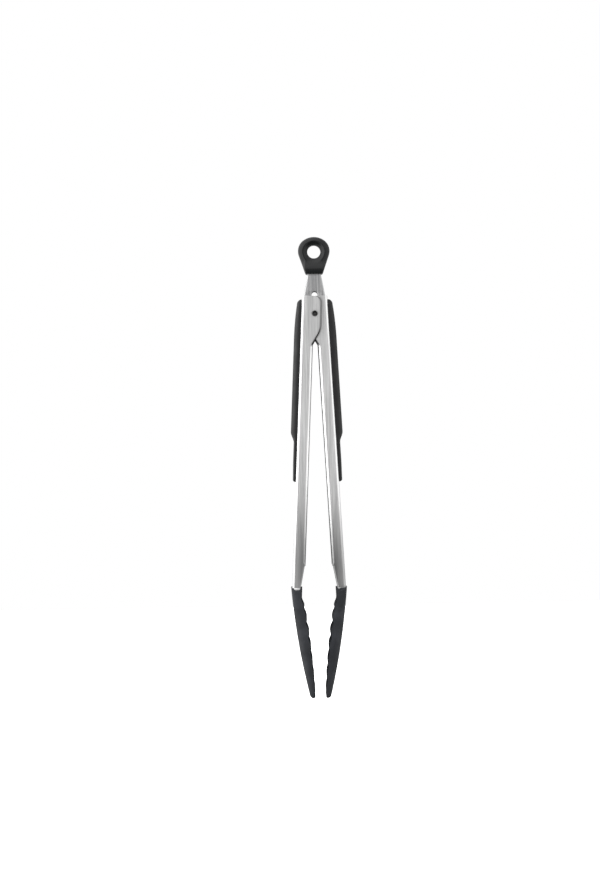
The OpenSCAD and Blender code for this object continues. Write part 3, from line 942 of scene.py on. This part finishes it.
def brushedSteel(name, turn, look=steelLook, side=None):
    s = Shader(name)
    fine = s.noise(s.place((2600, 2600, 34), turn), 1.0, 4.0, 0.65)
    broad = s.noise(s.place((520, 520, 9), turn), 1.0, 3.0, 0.5)
    cloud = s.noise(s.place((60, 60, 22), turn), 1.0, 2.0)
    streak = fine * 0.6 + broad * 0.4
    colour = s.mix(s.spots(0.36, 0.64, streak), look["dark"], look["light"])
    tint = s.mix(s.spots(0.35, 0.7, cloud) * 0.35, colour, look["dark"])
    if side:
        # painted shade: an arm's steel darkens towards the head, most along the rolled edge, a little near
        # the hinge, and strongly on its marked edges
        at = s.node("ShaderNodeTexCoord", None, None, "Object")
        x = s.node("ShaderNodeSeparateXYZ", None, {0: at}, "X")
        z = s.node("ShaderNodeSeparateXYZ", None, {0: at}, "Z")
        lean = math.radians(restAngle)
        inward = x * (-side * math.cos(lean)) - (z - hingeZ * mm) * math.sin(lean)
        down = s.spots(0.165, 0.24, z * -1.0)
        edge = s.spots(-0.009, -0.002, inward)
        near = 1.0 - s.spots(0.04, 0.11, z * -1.0)
        shade = 1.0 - down * (look["paintedHeadShade"][side] + 0.24 * edge) - near * 0.12
        tint = s.shade(tint, shade)
        # painted shade on the marked edges
        edgeShade = s.node("ShaderNodeAttribute", {"attribute_name": "paintedEdgeShade"}, None, "Fac")
        tint = s.shade(tint, 1.0 - edgeShade * 0.93)
    shadow = s.node("ShaderNodeAmbientOcclusion", {"samples": 8}, {"Distance": 0.0018}, "AO")
    tint = s.shade(tint, 0.12 + 0.88 * shadow ** 1.6)
    wear = s.spots(0.3, 0.7, fine) * 0.6 + s.spots(0.3, 0.7, cloud) * 0.4
    return s.finish({"Base Color": tint, "Roughness": look["rough"] + look["roughSpread"] * wear,
                     "Metallic": 1.0, "Anisotropic": 0.45, "Normal": s.bump(streak, 0.00003, 0.55)})


def softRubber(name, base, pale, rough=0.62, grain=1.0, gloss=0.3):
    s = Shader(name)
    grainNoise = s.noise(s.place((1, 1, 1)), 2600.0, 2.0, 0.6)
    patch = s.noise(s.place((1, 1, 1)), 70.0, 4.0, 0.6)
    dust = s.noise(s.place((1, 1, 1)), 420.0, 5.0, 0.7)
    edge = s.node("ShaderNodeNewGeometry", None, None, "Pointiness")
    # paler on sharp convex edges
    paleEdges = s.spots(0.505, 0.56, edge)
    colour = s.mix(s.spots(0.35, 0.75, patch) * 0.5 + s.spots(0.62, 0.8, dust) * 0.18, base, pale)
    colour = s.mix(paleEdges * 0.35, colour, pale)
    roughness = rough - 0.1 * s.spots(0.4, 0.7, patch) + 0.08 * grainNoise
    normal = s.bump(grainNoise * 0.7 + dust * 0.3, 0.00006 * grain, 0.5)
    return s.finish({"Base Color": colour, "Roughness": roughness, "Specular IOR Level": gloss,
                     "Normal": normal})


def mouldedPlastic(name, base, pale, rough=0.45, gloss=0.3):
    s = Shader(name)
    texture = s.node("ShaderNodeTexVoronoi", {"feature": "F1"}, {
        "Vector": s.place((1, 1, 1)), "Scale": 1500.0})
    patch = s.noise(s.place((1, 1, 1)), 90.0, 3.0)
    colour = s.mix(s.spots(0.3, 0.8, patch) * 0.6, base, pale)
    roughness = rough + 0.1 * patch
    return s.finish({"Base Color": colour, "Roughness": roughness, "Specular IOR Level": gloss,
                     "Normal": s.bump(texture, 0.00005, 0.4)})


def drawnWire(name):
    s = Shader(name)
    ring = s.noise(s.place((900, 900, 900)), 1.0, 3.0)
    colour = s.mix(s.spots(0.35, 0.65, ring), (0.34, 0.35, 0.37, 1), (0.5, 0.51, 0.53, 1))
    return s.finish({"Base Color": colour, "Roughness": 0.25 + 0.15 * ring, "Metallic": 1.0,
                     "Normal": s.bump(ring, 0.00003, 0.4)})


armSteelLeft = brushedSteel("armSteelLeft", -restAngle, steelLook, left)
armSteelRight = brushedSteel("armSteelRight", restAngle, steelLook, right)
tabSteel = brushedSteel("tabSteel", 0, {"light": (0.47, 0.47, 0.47, 1), "dark": (0.25, 0.25, 0.255, 1),
                                        "rough": 0.32, "roughSpread": 0.14})
pinSteel = brushedSteel("pinSteel", 0, {"light": (0.42, 0.42, 0.42, 1), "dark": (0.3, 0.3, 0.3, 1),
                                        "rough": 0.3, "roughSpread": 0.1})
# a darker copy of the steel for the hinge pin: painted shade for its hollow and head
hollowSteel = brushedSteel("hollowSteel", 0, {"light": (0.22, 0.22, 0.22, 1), "dark": (0.1, 0.1, 0.1, 1),
                                              "rough": 0.35, "roughSpread": 0.1})
springSteel = drawnWire("springSteel")
gripRubber = softRubber("gripRubber", (0.005, 0.0051, 0.0054, 1), (0.011, 0.011, 0.0115, 1), 0.5, 1.0, 0.25)
headSilicone = softRubber("headSilicone", (0.011, 0.012, 0.014, 1), (0.03, 0.032, 0.037, 1),
                          0.62, 0.7, 0.14)
loopPlastic = mouldedPlastic("loopPlastic", (0.002, 0.0024, 0.0026, 1), (0.006, 0.0068, 0.007, 1),
                             0.16, 0.22)
corePlastic = mouldedPlastic("corePlastic", (0.02, 0.02, 0.021, 1), (0.045, 0.045, 0.047, 1), 0.5)
nylon = mouldedPlastic("nylon", (0.02, 0.02, 0.022, 1), (0.04, 0.04, 0.043, 1), 0.55)
bushPlastic = mouldedPlastic("bushPlastic", (0.55, 0.55, 0.52, 1), (0.68, 0.68, 0.65, 1), 0.4)
say("materials")

springCoil = buildCoil(springSteel)
springLegLeft, springLegRight = buildLegs()
leftGripStrip = buildCore(left, corePlastic)
rightGripStrip = buildCore(right, corePlastic)
say("spring and strips")


# what each piece rides on, stands for and is made of
def settle(obj, body, nodes, material):
    obj.data.materials.clear()
    obj.data.materials.append(material)
    for face in obj.data.polygons:
        face.material_index = 0
    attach(obj, body)
    if nodes:
        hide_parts(*nodes)


settle(leftArmSheet, "left_arm", ["left_arm"], armSteelLeft)
settle(rightArmSheet, "right_arm", ["right_arm"], armSteelRight)
settle(leftGripPad, "left_arm", ["left_grip"], gripRubber)
settle(rightGripPad, "right_arm", ["right_grip"], gripRubber)
settle(leftGripStrip, "left_arm", ["left_grip_core"], corePlastic)
settle(rightGripStrip, "right_arm", ["right_grip_core"], corePlastic)
settle(leftHeadSilicone, "left_arm", ["left_head"], headSilicone)
settle(rightHeadSilicone, "right_arm", ["right_head"], headSilicone)
settle(lockTabSheet, "hanger", ["lock_tab"], tabSteel)
settle(hangLoopMoulding, "hanger", ["hang_loop"], loopPlastic)
settle(hingePinTurned, "hinge", ["hinge_pin"], hollowSteel)
settle(springCoil, "hinge", ["torsion_spring"], springSteel)
settle(springLegLeft, "left_arm", [], springSteel)
settle(springLegRight, "right_arm", [], springSteel)

keptNodes = {
    "hinge_spacers": (pinSteel, "pin_steel"), "spring_bush": (bushPlastic, "bush_plastic"),
    "left_head_core": (nylon, "head_core_nylon"), "right_head_core": (nylon, "head_core_nylon"),
    "left_head_rivets": (pinSteel, "pin_steel"), "right_head_rivets": (pinSteel, "pin_steel"),
}
for nodeName, (material, slotName) in keptNodes.items():
    node = frame["nodes"][nodeName]
    node.data.materials.clear()
    node.data.materials.append(material)
say("pieces settled")

# studio
studio = {
    "lens": 85.0, "sensor": 36.0, "frameHeight": 0.6699, "lean": 0.906, "aside": -0.01119,
    "below": -0.09602, "floorDrop": 0.09, "floorSize": 4.0, "floorGlow": 0.35,
}

# place, width, height and power
lights = {
    "keyLight": ((-1.1, -0.35, 0.25), 0.7, 1.1, 1.28),
    "fillLight": ((1.1, -0.35, 0.15), 0.7, 1.1, 0.64),
    "topLight": ((0, -0.5, 1.0), 0.8, 0.8, 0.8),
}


def buildWorld():
    s = Shader("studioWorld", bpy.data.worlds)
    at = s.node("ShaderNodeTexCoord", None, None, "Generated")
    x, y, z = (s.node("ShaderNodeSeparateXYZ", None, {0: at}, axis) for axis in "XYZ")
    # dim straight ahead and behind, bright at the sides, brightest on the left
    cone = s.spots(0.80, 0.97, s.maths("ABSOLUTE", y, 0.0))
    height = s.spots(-0.16, 0.02, z, 0.31, 0.61)
    across = s.spots(-0.7, 0.7, x, 3.0, 1.4)
    level = s.spots(-0.7, -0.35, z, 0.14, 1.0)
    behind = s.spots(0.25, 0.75, y, 1.0, 0.35)
    strength = s.blend(cone, across * level * behind, height)
    # the camera itself sees plain white
    seen = s.node("ShaderNodeLightPath", None, None, "Is Camera Ray")
    shown = s.blend(seen, strength, 1.0)
    back = s.node("ShaderNodeBackground", None, {"Color": (1, 1, 1, 1), "Strength": shown})
    s.node("ShaderNodeOutputWorld", None, {"Surface": back})
    bpy.context.scene.world = s.owner


def buildFloor():
    low = cadLow[2] - studio["floorDrop"]
    half = studio["floorSize"] / 2
    corners = [(-half, -half, low), (half, -half, low), (half, half, low), (-half, half, low)]
    mesh = bpy.data.meshes.new("floor")
    mesh.from_pydata(corners, [], [(0, 1, 2, 3)])
    floor = bpy.data.objects.new("floor", mesh)
    bpy.context.scene.collection.objects.link(floor)
    shader = Shader("floorPaper")
    grain = shader.noise(shader.place((1, 1, 1)), 40.0, 3.0)
    colour = shader.mix(grain, (0.9, 0.9, 0.9, 1), (0.93, 0.93, 0.93, 1))
    mesh.materials.append(shader.finish({
        "Base Color": colour, "Roughness": 0.9,
        "Emission Color": (1, 1, 1, 1), "Emission Strength": studio["floorGlow"]}))
    floor.visible_glossy = False


def buildLights():
    aim = Vector((0, 0, (cadLow[2] + cadHigh[2]) / 2))
    for name, (place, width, height, power) in lights.items():
        data = bpy.data.lights.new(name, "AREA")
        data.energy = power
        data.shape = "RECTANGLE"
        data.size, data.size_y = width, height
        obj = bpy.data.objects.new(name, data)
        obj.location = place
        obj.rotation_euler = (aim - Vector(place)).to_track_quat("-Z", "Y").to_euler()
        bpy.context.scene.collection.objects.link(obj)


def buildCamera():
    s = studio
    data = bpy.data.cameras.new("camera")
    data.lens = s["lens"]
    data.sensor_width = s["sensor"]
    camera = bpy.data.objects.new("camera", data)
    turn = Matrix.Rotation(math.radians(s["lean"]), 3, "Y")
    across, up = turn @ Vector((1, 0, 0)), turn @ Vector((0, 0, 1))
    middle = Vector((0, 0, hingeZ * mm)) + across * s["aside"] + up * s["below"]
    camera.location = middle - Vector((0, s["frameHeight"] * s["lens"] / s["sensor"], 0))
    camera.rotation_euler = (turn @ Matrix.Rotation(math.radians(90), 3, "X")).to_euler()
    bpy.context.scene.collection.objects.link(camera)
    bpy.context.scene.camera = camera
    bpy.context.scene.view_settings.view_transform = "Standard"


buildWorld()
buildFloor()
buildLights()
buildCamera()
say("studio")
